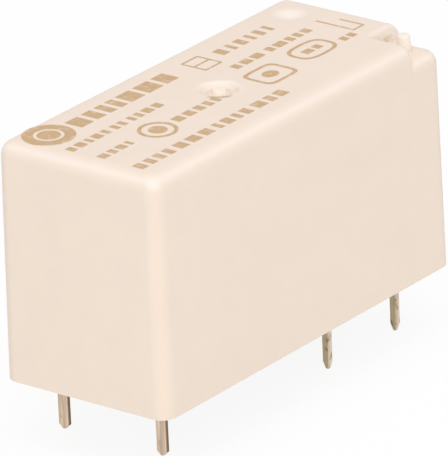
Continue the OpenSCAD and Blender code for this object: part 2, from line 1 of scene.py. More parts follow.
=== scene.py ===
"""Looks of a sealed board relay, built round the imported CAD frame."""
import logging
import math
from dataclasses import dataclass, field
from enum import Enum
from typing import Any, Callable, Sequence

import bpy
import numpy as np
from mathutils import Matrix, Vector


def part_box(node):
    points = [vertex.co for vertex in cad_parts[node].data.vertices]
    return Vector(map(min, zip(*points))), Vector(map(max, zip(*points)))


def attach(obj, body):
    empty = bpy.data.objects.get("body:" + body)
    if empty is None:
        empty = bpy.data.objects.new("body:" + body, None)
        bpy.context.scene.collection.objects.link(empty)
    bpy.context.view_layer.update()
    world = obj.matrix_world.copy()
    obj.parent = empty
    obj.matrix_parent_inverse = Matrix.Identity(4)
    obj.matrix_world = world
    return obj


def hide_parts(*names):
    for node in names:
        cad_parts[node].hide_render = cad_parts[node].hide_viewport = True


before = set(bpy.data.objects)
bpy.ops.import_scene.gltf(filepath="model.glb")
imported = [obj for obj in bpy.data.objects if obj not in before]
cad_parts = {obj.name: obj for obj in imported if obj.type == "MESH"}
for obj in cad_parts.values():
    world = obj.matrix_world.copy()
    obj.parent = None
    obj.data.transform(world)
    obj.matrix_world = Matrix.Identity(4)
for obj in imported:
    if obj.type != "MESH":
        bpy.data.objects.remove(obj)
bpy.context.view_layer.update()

Array = np.ndarray
Object = bpy.types.Object
Colour = tuple[float, float, float]

MM = 0.001
TINY = 1e-6
# Upward part of a direction from which a face counts as level.
LEVEL = 0.99
# Radius in millimetres of the ring that closes the end of a lathe surface.
CLOSED_R = 0.002
# Height in millimetres below which a terminal is nothing but its pin.
PIN_Z = -1.0
# Places of the colour sockets on a Mix node, where names repeat from type to type.
MIX_SIDES = (6, 7)
MIX_RESULT = 2
HOUSING = "housing"
TERMINALS = (
    "coil_terminal_a",
    "coil_terminal_b",
    "normally_open_terminal",
    "common_terminal",
    "normally_closed_terminal",
)
log = logging.getLogger("relay")


# Shader helpers


class Mapping(Enum):
    """What a texture is laid out by, as the Texture Coordinate node names it."""

    OBJECT = "Object"
    NORMAL = "Normal"


def math_operator(operation: str, swapped: bool = False) -> Callable[["Value", Any], "Value"]:
    """Makes an operator for Value.

    Args:
        operation: setting of the Math node.
        swapped: whether the other operand comes first, as in 1 - mask.

    Returns:
        The method, which adds one Math node.
    """

    def method(value: "Value", other: "Value | float") -> "Value":
        """One Math node on the two operands."""
        operands = (other, value) if swapped else (value, other)
        return value.graph.maths(operation, *operands)

    return method


class Value:
    """An output socket. Those that hold numbers can be used in sums."""

    def __init__(self, graph: "Graph", socket: bpy.types.NodeSocket) -> None:
        """Keeps the socket and the graph that it is in."""
        self.graph = graph
        self.socket = socket

    __add__ = __radd__ = math_operator("ADD")
    __mul__ = __rmul__ = math_operator("MULTIPLY")
    __sub__, __rsub__ = math_operator("SUBTRACT"), math_operator("SUBTRACT", True)
    __pow__, __rpow__ = math_operator("POWER"), math_operator("POWER", True)

    def ramp(self, low: float, high: float) -> "Value":
        """Smooth step from 0 where this value is low to 1 where it is high."""
        inputs = {"Value": self, "From Min": low, "From Max": high}
        return self.graph.value("Result", "MapRange", {"interpolation_type": "SMOOTHSTEP"}, inputs)


class Graph:
    """The node tree of one material or of the world."""

    def __init__(self, tree: bpy.types.NodeTree) -> None:
        """Empties the tree and keeps it."""
        tree.nodes.clear()
        self.tree = tree

    def node(
        self,
        kind: str,
        settings: dict[str, Any] | None = None,
        inputs: dict[str | int, Any] | None = None,
    ) -> bpy.types.Node:
        """Makes a node: its type, then its settings, then its inputs.

        Args:
            kind: the node's type name, without ShaderNode.
            settings: properties, set before the inputs.
            inputs: values or sockets by input name or index.

        Returns:
            The new node.
        """
        made = self.tree.nodes.new("ShaderNode" + kind)
        for name, value in (settings or {}).items():
            setattr(made, name, value)
        for name, value in (inputs or {}).items():
            if isinstance(value, Value):
                self.tree.links.new(value.socket, made.inputs[name])
            else:
                made.inputs[name].default_value = value
        return made

    def value(self, output: str | int, kind: str, *details: dict | None) -> Value:
        """One output of a new node. The details are those that node takes."""
        return Value(self, self.node(kind, *details).outputs[output])

    def maths(self, operation: str, *values: Value | float) -> Value:
        """One Math node on numbers and values."""
        return self.value(0, "Math", {"operation": operation}, dict(enumerate(values)))

    def layout(self, mapping: Mapping) -> Value:
        """What textures are laid out by, in the piece's own space."""
        return self.value(mapping.value, "TexCoord")

    def coords(self, stretch: Sequence[float] = (1.0, 1.0, 1.0)) -> Value:
        """Object coordinates in millimetres, times a factor for each axis."""
        inputs = {0: self.layout(Mapping.OBJECT), 1: [s / MM for s in stretch]}
        return self.value("Vector", "VectorMath", {"operation": "MULTIPLY"}, inputs)

    def axes(self, vector: Value) -> tuple[Value, Value, Value]:
        """The three parts of a vector."""
        made = self.node("SeparateXYZ", None, {"Vector": vector})
        return tuple(Value(self, made.outputs[axis]) for axis in "XYZ")

    def noise(self, vector: Value, scale: float, detail: float = 3.0) -> Value:
        """Noise from 0 to 1: scale in cells for each unit of the vector, detail in octaves."""
        inputs = {"Vector": vector, "Scale": scale, "Detail": detail}
        return self.value("Fac", "TexNoise", None, inputs)

    def attribute(self, name: str) -> Value:
        """A number that the mesh carries at its points."""
        return self.value("Fac", "Attribute", {"attribute_name": name})

    def blend(
        self, factor: Value, low: Value | Sequence[float], high: Value | Sequence[float]
    ) -> Value:
        """Colour mix from low to high by the factor.

        Args:
            factor: 0 gives low and 1 gives high.
            low: colour at 0.
            high: colour at 1.

        Returns:
            The mixed colour.
        """
        sides = [side if isinstance(side, Value) else (*side, 1.0) for side in (low, high)]
        inputs = {"Factor": factor, **dict(zip(MIX_SIDES, sides))}
        return self.value(MIX_RESULT, "Mix", {"data_type": "RGBA"}, inputs)

    def bump(self, height: Value, distance: float) -> Value:
        """Normal bent by a height from 0 to 1, where 1 stands for the distance in millimetres."""
        inputs = {"Height": height, "Distance": distance * MM, "Strength": 1.0}
        return self.value("Normal", "Bump", None, inputs)

    def direct(self) -> Value:
        """Tells rays that see a thing from rays that light it.

        Returns:
            1 on rays from the camera, mirrors and glass, and 0 on all others.
        """
        path = self.node("LightPath")
        rays = ("Is Camera Ray", "Is Glossy Ray", "Is Transmission Ray")
        camera, mirror, glass = (Value(self, path.outputs[ray]) for ray in rays)
        return self.maths("MINIMUM", camera + mirror + glass, 1.0)

    def surface(self, inputs: dict[str, Any]) -> None:
        """A Principled surface with these inputs, led to the output."""
        shader = self.value("BSDF", "BsdfPrincipled", None, inputs)
        self.node("OutputMaterial", None, {"Surface": shader})


# Finishes


@dataclass(frozen=True)
class Finish:
    """One procedural material.

    Attributes:
        name: name of the finish.
        colour: linear base colour.
        roughness: mean roughness.
    """

    name: str
    colour: Colour
    roughness: float

    def shade(self, factor: float) -> Colour:
        """The colour made lighter or darker, kept under 1."""
        return tuple(min(part * factor, 1.0) for part in self.colour)

    def fill(self, graph: Graph) -> None:
        """Adds the nodes of the finish."""
        raise NotImplementedError

    def material(self) -> bpy.types.Material:
        """The finish as a Blender material.

        Returns:
            The material, made once and then used again.
        """
        name = self.name + "_finish"
        known = bpy.data.materials.get(name)
        if known:
            return known
        made = bpy.data.materials.new(name)
        made.use_nodes = True
        made.diffuse_color = (*self.colour, 1.0)
        self.fill(Graph(made.node_tree))
        return made


@dataclass(frozen=True)
class MouldedPlastic(Finish):
    """Moulded plastic: faint flow mottling, a fine eroded grain, and painted highlights, painted
    light and painted shade.

    Attributes:
        mottle: share by which the colour wanders.
        grain: depth of the surface grain in millimetres.
        edge: colour of the warm painted highlight on the upright rounded edges, if any.
        crown: colour of the paler painted highlight on the rounded edges of the top.
        rub: colour of the painted light in the hollows, on the gate's stub and rim, on the
            recess's wall and on the nib.
        soil: colour of the painted shade round the gate's stub and on one side of its rim.
        tint: strength of the edge and crown painted highlights.
        painted_light_strength: strength of the painted light.
        painted_shade_strength: strength of the painted shade.
    """

    mottle: float = 0.02
    grain: float = 0.004
    edge: Colour | None = None
    crown: Colour = (0.95, 0.86, 0.77)
    rub: Colour = (0.98, 0.9, 0.8)
    soil: Colour = (0.5, 0.36, 0.2)
    tint: float = 0.5
    painted_light_strength: float = 0.6
    painted_shade_strength: float = 0.8

    def fill(self, graph: Graph) -> None:
        """Two slow noises mottle the colour, painted highlight, light and shade tint it, and a
        fine noise gives the grain.

        Args:
            graph: the material's node tree.
        """
        at = graph.coords()
        flow = graph.noise(graph.coords((0.12, 0.35, 0.35)), 1.0, 4.0).ramp(0.3, 0.7)
        cloud = graph.noise(at, 0.7, 2.0).ramp(0.35, 0.65)
        grain = graph.noise(at, 9.0, 2.0)
        tone = graph.blend(
            0.6 * flow + 0.4 * cloud,
            self.shade(1 - self.mottle),
            self.shade(1 + self.mottle),
        )
        # Painted highlight on the rounded edges, painted light in the hollows, on the stub, the
        # recess's wall and the nib, and painted shade round the gate's stub.
        if self.edge:
            for mark, colour in (("edge", self.edge), ("crown", self.crown)):
                tone = graph.blend(graph.attribute(mark).ramp(0.1, 1.0) * self.tint, tone, colour)
            tone = graph.blend(graph.attribute("rub") * self.painted_light_strength, tone, self.rub)
            tone = graph.blend(graph.attribute("soil") * self.painted_shade_strength, tone, self.soil)
        graph.surface({
            "Base Color": tone,
            "Roughness": self.roughness + 0.1 * (grain - 0.5),
            "IOR": 1.5,
            "Normal": graph.bump(grain, self.grain),
        })


@dataclass(frozen=True)
class CastResin(Finish):
    """Cured resin: dark, glossy, with slow waves and dull patches."""

    def fill(self, graph: Graph) -> None:
        """Cloudy noise makes it paler and duller in places, and slow noise bends its surface.

        Args:
            graph: the material's node tree.
        """
        at = graph.coords()
        wave = graph.noise(at, 0.35, 2.0)
        haze = graph.noise(at, 1.3, 4.0).ramp(0.4, 0.75)
        graph.surface({
            "Base Color": graph.blend(haze, self.colour, self.shade(1.7)),
            "Roughness": self.roughness + 0.25 * haze,
            "Coat Weight": 0.4,
            "Normal": graph.bump(wave, 0.05),
        })


@dataclass(frozen=True)
class WoundWire(Finish):
    """Enamelled wire: turns side by side along X, each a little different in tone.

    Attributes:
        pitch: distance from turn to turn in millimetres.
        relief: depth between two turns in millimetres.
    """

    pitch: float = 0.22
    relief: float = 0.08

    def fill(self, graph: Graph) -> None:
        """Each turn is a ridge, from the sine of the distance along X.

        Noise that is narrow along X gives each turn its own tint.

        Args:
            graph: the material's node tree.
        """
        at = graph.coords()
        along, _, _ = graph.axes(at)
        turn = along * (math.tau / self.pitch)
        ridge = graph.maths("ABSOLUTE", graph.maths("SINE", turn * 0.5))
        tint = graph.noise(graph.coords((4.0, 0.3, 0.3)), 1.0, 2.0)
        graph.surface({
            "Base Color": graph.blend(tint, self.shade(0.7), self.shade(1.3)),
            "Roughness": self.roughness + 0.1 * tint,
            "Metallic": 0.6,
            "Coat Weight": 0.5,
            "Normal": graph.bump(ridge ** 0.5, self.relief),
        })


@dataclass(frozen=True)
class FilmTape(Finish):
    """Amber film tape: the turns below show through as soft bands.

    Attributes:
        bands: radians of the bands per millimetre along X.
        lap_z: height in millimetres below which the tape lies double and is darker.
    """

    bands: float = 7.0
    lap_z: float = 3.9

    def fill(self, graph: Graph) -> None:
        """Bands from the sine of the distance along X, and creases from noise.

        Below lap_z the colour is even and darker.

        Args:
            graph: the material's node tree.
        """
        along, _, high = graph.axes(graph.coords())
        band = graph.maths("SINE", along * self.bands) * 0.5 + 0.5
        crease = graph.noise(graph.coords((0.5, 2.0, 2.0)), 1.0, 3.0)
        lap = high.ramp(self.lap_z, self.lap_z + 0.1)
        tone = graph.blend(band * 0.5 + 0.3 * crease, self.shade(0.8), self.colour)
        graph.surface({
            "Base Color": graph.blend(lap, self.shade(0.7), tone),
            "Roughness": self.roughness + 0.15 * crease,
            "Coat Weight": 0.6,
            "Normal": graph.bump(crease, 0.03),
        })


@dataclass(frozen=True)
class DrawnMetal(Finish):
    """Plated or rolled metal: fine lines along one axis and patches of dull oxide.

    Attributes:
        stretch: factor on each axis, small along the lines.
        tarnish: colour of the oxide.
        dulling: roughness that the oxide adds.
    """

    stretch: tuple[float, float, float] = (0.05, 1.0, 1.0)
    tarnish: Colour = (0.3, 0.25, 0.2)
    dulling: float = 0.2

    def fill(self, graph: Graph) -> None:
        """Noise drawn out along one axis gives the lines, and cloudy noise the oxide.

        Args:
            graph: the material's node tree.
        """
        lines = graph.noise(graph.coords(self.stretch), 12.0, 3.0)
        patch = graph.noise(graph.coords(), 1.6, 4.0).ramp(0.45, 0.8)
        tone = graph.blend(lines, self.shade(0.88), self.shade(1.1))
        graph.surface({
            "Base Color": graph.blend(patch * 0.5, tone, self.tarnish),
            "Roughness": self.roughness + self.dulling * patch + 0.1 * (lines - 0.5),
            "Metallic": 1.0 - 0.3 * patch,
            "Normal": graph.bump(lines, 0.006),
        })


@dataclass(frozen=True)
class DippedTin(Finish):
    """Dipped tin on a pin: runs down the pin, sheared sides, flux stain and dull spots.

    Attributes:
        sheared: colour of the two sides that the punch sheared.
        across: 0 if those sides face along X and 1 if along Y.
        stain: colour of the flux and of the spots.
        spotting: strength of the spots.
        staining: strength of the flux.
    """

    sheared: Colour = (0.3, 0.2, 0.1)
    across: int = 0
    stain: Colour = (0.13, 0.085, 0.035)
    spotting: float = 0.6
    staining: float = 0.15

    def fill(self, graph: Graph) -> None:
        """Noise drawn out down the pin gives the runs, and with the height it gives the flux.

        Round noise gives the spots, and the normal tells which sides were sheared.

        Args:
            graph: the material's node tree.
        """
        high = graph.axes(graph.coords())[2]
        facing = graph.axes(graph.layout(Mapping.NORMAL))[self.across]
        side = graph.maths("ABSOLUTE", facing).ramp(0.5, 0.8)
        run = graph.noise(graph.coords((5.0, 5.0, 0.25)), 1.0, 3.0)
        spot = graph.noise(graph.coords((1.0, 1.0, 0.6)), 2.6, 3.0).ramp(0.58, 0.7)
        flux = high.ramp(-1.2, 0.1) * run.ramp(0.35, 0.65)
        tone = graph.blend(run.ramp(0.3, 0.7), self.shade(0.76), self.shade(1.16))
        tone = graph.blend(side, tone, self.sheared)
        soil = self.staining * flux + self.spotting * spot
        graph.surface({
            "Base Color": graph.blend(soil, tone, self.stain),
            "Roughness": self.roughness + 0.2 * spot + 0.1 * flux + 0.15 * side,
            "Metallic": 0.9 - 0.4 * spot - 0.3 * side,
            "Normal": graph.bump(run, 0.03),
        })


@dataclass(frozen=True)
class TurnedSilver(Finish):
    """Contact metal: turning rings round the rivet's axis, which lies along X.

    Attributes:
        axis_z: height of the rivet's axis in millimetres.
        rings: radians of the rings per millimetre outwards.
    """

    axis_z: float = 10.4
    rings: float = 60.0

    def fill(self, graph: Graph) -> None:
        """Rings from the sine of the distance to the axis, and a burn that fades outwards.

        Args:
            graph: the material's node tree.
        """
        _, across, high = graph.axes(graph.coords())
        up = high - self.axis_z
        radius = (across * across + up * up) ** 0.5
        ring = graph.maths("SINE", radius * self.rings) * 0.5 + 0.5
        burn = graph.noise(graph.coords(), 2.5, 3.0) * (1 - radius.ramp(0.2, 1.0))
        graph.surface({
            "Base Color": graph.blend(burn, self.colour, self.shade(0.5)),
            "Roughness": self.roughness + 0.08 * ring + 0.3 * burn,
            "Metallic": 1.0,
            "Normal": graph.bump(ring, 0.004),
        })


@dataclass(frozen=True)
class PadInk(Finish):
    """Pad-printed ink: thin, a little patchy, with the plastic showing through.

    Attributes:
        under: colour of the plastic below.
    """

    under: Colour = (0.88, 0.74, 0.6)

    def fill(self, graph: Graph) -> None:
        """Cloudy noise wears the ink, so that the plastic shows, and fine noise grains it.

        Args:
            graph: the material's node tree.
        """
        at = graph.coords()
        worn = graph.noise(at, 2.0, 4.0).ramp(0.45, 0.9)
        fine = graph.noise(at, 14.0, 2.0)
        graph.surface({
            "Base Color": graph.blend(worn * 0.6 + fine * 0.15, self.colour, self.under),
            "Roughness": self.roughness + 0.1 * fine,
            "Normal": graph.bump(fine, 0.003),
        })


@dataclass(frozen=True)
class StudioFloor(Finish):
    """Plain pale floor that looks white where it is seen directly, yet keeps a soft shadow.

    Attributes:
        glow: share of plain white in what the camera and mirrors see.
    """

    glow: float = 0.91

    def fill(self, graph: Graph) -> None:
        """A matt surface, mixed with plain white where the camera and mirrors see it.

        Args:
            graph: the material's node tree.
        """
        drift = graph.noise(graph.coords(), 0.01, 1.0)
        tone = graph.blend(drift, self.colour, self.shade(0.995))
        inputs = {"Base Color": tone, "Roughness": self.roughness, "Specular IOR Level": 0.0}
        matt = graph.value("BSDF", "BsdfPrincipled", None, inputs)
        white = graph.value("Emission", "Emission")
        sides = {0: graph.direct() * self.glow, 1: matt, 2: white}
        mixed = graph.value("Shader", "MixShader", None, sides)
        graph.node("OutputMaterial", None, {"Surface": mixed})


# The cover's last colour is the warm painted highlight on its upright rounded edges.
COVER = MouldedPlastic("cover", (0.864, 0.746, 0.622), 0.6, 0.012, 0.003, (0.94, 0.73, 0.59))
BASE = MouldedPlastic("base_plastic", (0.05, 0.052, 0.058), 0.5, 0.1, 0.006)
BOBBIN = MouldedPlastic("bobbin_plastic", (0.75, 0.72, 0.62), 0.45, 0.03, 0.006)
SLIDE = MouldedPlastic("slide_plastic", (0.04, 0.1, 0.32), 0.4, 0.06, 0.005)
RESIN = CastResin("cast_resin", (0.045, 0.038, 0.03), 0.18)
WIRE = WoundWire("enamelled_wire", (0.48, 0.13, 0.05), 0.3)
TAPE = FilmTape("film_tape", (0.68, 0.42, 0.05), 0.25)
IRON = DrawnMetal("plated_iron", (0.5, 0.5, 0.52), 0.3)
FOIL = DrawnMetal("shim_foil", (0.66, 0.46, 0.18), 0.25, (1.0, 1.0, 0.05))
STRIP = DrawnMetal("spring_strip", (0.52, 0.5, 0.47), 0.28, (1.0, 0.05, 1.0))
COPPER = DrawnMetal("spring_copper", (0.62, 0.34, 0.16), 0.27, (1.0, 1.0, 0.05), (0.22, 0.1, 0.05))
SILVER = TurnedSilver("contact_silver", (0.7, 0.7, 0.71), 0.2)
COIL_TIN = DippedTin("coil_pin_tin", (0.69, 0.53, 0.4), 0.32, (0.2, 0.13, 0.065), 1, spotting=0.15)
CONTACT_TIN = DippedTin("contact_pin_tin", (0.7, 0.565, 0.435), 0.32, (0.5, 0.4, 0.25), 0)
INK = PadInk("pad_ink", (0.56, 0.36, 0.17), 0.55)
FLOOR = StudioFloor("studio_floor", (0.97, 0.965, 0.96), 0.9)


# Mesh helpers


def place(name: str, data: bpy.types.ID) -> Object:
    """Puts a mesh, light or camera into the scene.

    Args:
        name: name of the object.
        data: what it shows.

    Returns:
        The new object, at the origin.
    """
    made = bpy.data.objects.new(name, data)
    bpy.context.scene.collection.objects.link(made)
    return made


def cells(index: Array) -> Array:
    """Quads between neighbours in a grid of point numbers."""
    corners = [index[:-1, :-1], index[1:, :-1], index[1:, 1:], index[:-1, 1:]]
    return np.stack(corners, -1).reshape(-1, 4)


def joined_loops(order: Array, count: int) -> Array:
    """Quads that join closed loops of count points each, one after the other in this order."""
    return cells((order[:, None] * count + np.arange(count + 1) % count).T)


@dataclass
class Surface:
    """Points and quads of a computed surface, in millimetres.

    Attributes:
        points: array of n points.
        quads: array of m faces with four corners.
        marks: strength of each mark at the points, by name.
    """

    points: Array
    quads: Array
    marks: dict[str, Array] = field(default_factory=dict)

    def joined(self, other: "Surface") -> "Surface":
        """This surface and another as one.

        Args:
            other: surface whose points and faces follow this one's.

        Returns:
            The joined surface, where a mark that one of them lacks is 0.
        """
        marks = {
            name: np.concatenate(
                [part.marks.get(name, np.zeros(len(part.points))) for part in (self, other)]
            )
            for name in {**self.marks, **other.marks}
        }
        return Surface(
            np.concatenate([self.points, other.points]),
            np.concatenate([self.quads, other.quads + len(self.points)]),
            marks,
        )

    def piece(self, name: str, finish: Finish, crease_deg: float = 35.0) -> Object:
        """Turns the surface into a smooth-shaded object at the origin.

        Args:
            name: name of the object.
            finish: its material.
            crease_deg: angle from which an edge is shaded sharp.

        Returns:
            The new object.
        """
        mesh = bpy.data.meshes.new(name)
        mesh.vertices.add(len(self.points))
        mesh.vertices.foreach_set("co", (self.points * MM).astype(np.float32).ravel())
        corners = len(self.quads) * 4
        mesh.loops.add(corners)
        mesh.loops.foreach_set("vertex_index", self.quads.astype(np.int32).ravel())
        mesh.polygons.add(len(self.quads))
        mesh.polygons.foreach_set("loop_start", np.arange(0, corners, 4, dtype=np.int32))
        mesh.update(calc_edges=True)
        mesh.validate()
        mesh.shade_smooth()
        mesh.set_sharp_from_angle(angle=math.radians(crease_deg))
        for mark, mask in self.marks.items():
            layer = mesh.attributes.new(mark, "FLOAT", "POINT")
            layer.data.foreach_set("value", mask.astype(np.float32))
        mesh.materials.append(finish.material())
        return place(name, mesh)


@dataclass
class BoxNet:
    """Grid lines of a box, whose five or six faces share their border points.

    Attributes:
        xs, ys, zs: places of the lines along each axis.
    """

    xs: Array
    ys: Array
    zs: Array

    def build(self, floored: bool) -> tuple[Array, Array, Array]:
        """Points, outward quads and the edges of the open lower rim.

        A point's number is i + nx (j + ny k), so faces that meet share their points.

        Args:
            floored: whether the box has its lower face.

        Returns:
            The points, the quads and the rim's edges.
        """
        nx, ny, nz = len(self.xs), len(self.ys), len(self.zs)
        i, j, k = (np.arange(n) for n in (nx, ny, nz))

        def key(a: Any, b: Any, c: Any) -> Array:
            """Number of the point on these lines."""
            return np.asarray(a + nx * (b + ny * c))

        walls = [
            key(i[:, None], 0, k[None, :]),
            key(i[::-1, None], ny - 1, k[None, :]),
            key(nx - 1, j[:, None], k[None, :]),
            key(0, j[::-1, None], k[None, :]),
        ]
        sheets = [key(i[:, None], j[None, :], nz - 1), *walls]
        if floored:
            sheets.append(key(i[:, None], j[None, ::-1], 0))
        quads = [cells(sheet) for sheet in sheets]
        rim = np.concatenate([np.stack([s[:-1, 0], s[1:, 0]], -1) for s in walls])
        used, packed = np.unique(np.concatenate(quads), return_inverse=True)
        points = np.stack(
            [self.xs[used % nx], self.ys[(used // nx) % ny], self.zs[used // (nx * ny)]], -1
        )
        return points, packed.reshape(-1, 4), np.searchsorted(used, rim)


def ease(share: Array) -> Array:
    """Smooth step of shares from 0 to 1."""
    return share * share * (3 - 2 * share)


def band(start: float, end: float, count: int) -> Array:
    """Evenly spaced lines from start to end."""
    return np.linspace(start, end, count)


def merge_lines(coarse: Array, *bands: Array, nearest: float = 0.4) -> Array:
    """Grid lines in which each band takes the place of earlier lines in its span.

    Args:
        coarse: the widest lines.
        bands: finer lines, the last the strongest.
        nearest: how near an earlier line may come to a band, over the band's step.

    Returns:
        All lines in order.
    """
    lines = coarse
    for fine in bands:
        room = (fine[1] - fine[0]) * nearest
        away = (lines < fine[0] - room) | (lines > fine[-1] + room)
        lines = np.sort(np.concatenate([lines[away], fine]))
    return lines


def turned(profile: Array, centre: Sequence[float], segments: int = 40) -> Surface:
    """Lathe surface: each profile point (radius, height) swept round a vertical axis.

    Args:
        profile: radius and height, from the bottom up.
        centre: X and Y of the axis.
        segments: steps round the axis.

    Returns:
        The surface, open at its ends by the profile's first and last radius.
    """
    angle = np.linspace(0, math.tau, segments, endpoint=False)
    radius, high = profile[:, :1], profile[:, 1:]
    x, y = centre[0] + radius * np.cos(angle), centre[1] + radius * np.sin(angle)
    grid = np.stack([x, y, high + 0 * angle], -1)
    return Surface(grid.reshape(-1, 3), joined_loops(np.arange(len(profile)), segments))


# Cover


@dataclass(frozen=True)
class Recess:
    """Corner recess: a floor lower than the top, with rounded wall edges.

    Attributes:
        wall_x: X of the wall across the body.
        wall_y: Y of the wall along the body.
        depth: fall from the top to the floor.
        upper_r: radius at the top of the wall.
        lower_r: radius at its foot.
        lean: how far the wall leans.
        corner_r: plan radius where the walls meet.
        edge_share: radius of the outer edges of the floor, as a share of the top's.
        arc_lines, wall_lines: points on each arc of the wall's profile, and on its straight
            with both ends.
    """

    wall_x: float
    wall_y: float
    depth: float
    upper_r: float = 0.3
    lower_r: float = 0.16
    lean: float = 0.05
    corner_r: float = 0.3
    edge_share: float = 0.8
    arc_lines: int = 7
    wall_lines: int = 12

    def profile(self) -> tuple[Array, Array]:
        """Wall profile: arc over the upper edge, leaning wall, arc into the floor.

        Returns:
            Distance into the recess and fall from the top.
        """
        turn = np.linspace(0, math.pi / 2, self.arc_lines)
        wall = np.linspace(0, 1, self.wall_lines)[1:-1]
        straight = self.depth - self.upper_r - self.lower_r
        into = np.r_[
            self.upper_r * (np.sin(turn) - 1),
            self.lean * wall,
            self.lean + self.lower_r * (1 - np.cos(turn)),
        ]
        fall = np.r_[
            self.upper_r * (1 - np.cos(turn)),
            self.upper_r + straight * wall,
            self.depth - self.lower_r * (1 - np.sin(turn)),
        ]
        return into, fall

    def cut(self, x: Array, y: Array) -> Array:
        """Share of the recess's depth at each point of the plan.

        The way in from the nearer wall, or from the rounded corner where the walls meet, is
        looked up on the wall's profile.

        Args:
            x, y: places of the points in plan.

        Returns:
            0 outside the recess, 1 on its floor.
        """
        a, b = x - self.wall_x, self.wall_y - y
        square = np.minimum(a, b)
        r = self.corner_r
        rounded = r - np.hypot(r - a, r - b)
        distance = np.where((a < r) & (b < r), rounded, square)
        into, fall = self.profile()
        return np.interp(distance, into, fall) / self.depth


@dataclass(frozen=True)
class Hollow:
    """Round hollow in the top, given by depths at shares of its radius.

    Attributes:
        x, y: centre in plan.
        radius: rim radius.
        depth: depth of the floor.
        floor_share: radius of the flat floor over the rim radius.
        stub_share: radius of the gate's stub over the rim radius.
        stub_rise: height of the stub over the depth.
        shaded_side: direction in plan of the side of the rim that gets painted shade.
        lip: where the bowl starts, over the rim radius.
        stub_edge: width of the stub's side over the rim radius.
        reach: how far the fine grid lines go, over the rim radius.
    """

    x: float
    y: float
    radius: float
    depth: float
    floor_share: float
    stub_share: float = 0.0
    stub_rise: float = 0.0
    shaded_side: tuple[float, float] = (-0.78, -0.62)
    lip: float = 1.03
    stub_edge: float = 0.08
    reach: float = 1.25

    def lines(self, centre: float, count: int) -> Array:
        """Fine grid lines across the hollow and a little beyond."""
        far = self.radius * self.reach
        return band(centre - far, centre + far, count)

    def fall(self, x: Array, y: Array) -> Array:
        """Depth at each point: a smooth step from the rim to the floor, less the stub.

        Args:
            x, y: places of the points in plan.

        Returns:
            Depth below the top.
        """
        share = np.hypot(x - self.x, y - self.y) / self.radius
        bowl = np.clip((self.lip - share) / (self.lip - self.floor_share), 0, 1)
        mound = np.clip((self.stub_share - share) / self.stub_edge, 0, 1)
        return self.depth * (ease(bowl) - self.stub_rise * ease(mound))

    def marks(self, x: Array, y: Array) -> dict[str, Array]:
        """Painted light and painted shade on and round the hollow.

        A dish gets painted light towards its middle. A stub gets painted light, with painted shade
        round its foot; the rim gets painted shade on one side and painted light on the other.

        Args:
            x, y: places of the points in plan.

        Returns:
            The masks of painted light and of painted shade.
        """
        away_x, away_y = (x - self.x) / self.radius, (y - self.y) / self.radius
        share = np.hypot(away_x, away_y)
        # A dish: painted light, strongest in its middle.
        if not self.stub_share:
            return {"rub": np.clip(1.5 * (1.15 - share), 0, 1), "soil": 0 * share}
        # Painted light on the stub and on one side of the rim; painted shade round the stub's foot
        # and on the rim's other side.
        shaded_side = away_x * self.shaded_side[0] + away_y * self.shaded_side[1]
        shaded_side = shaded_side / np.maximum(share, 0.05)
        stub = np.clip((1.15 * self.stub_share - share) / (0.35 * self.stub_share), 0, 1)
        rim = np.clip(1 - np.abs(share - 1.0) / 0.3, 0, 1) * np.clip(0.3 - shaded_side, 0, 1)
        foot = np.clip(1 - np.abs(share - 1.45 * self.stub_share) / 0.2, 0, 1)
        smear = np.clip(1.7 - np.abs(share - 1.1) / 0.1, 0, 1) * np.clip(7 * shaded_side - 5.6, 0, 1)
        return {"rub": stub + rim, "soil": 0.25 * foot + smear}


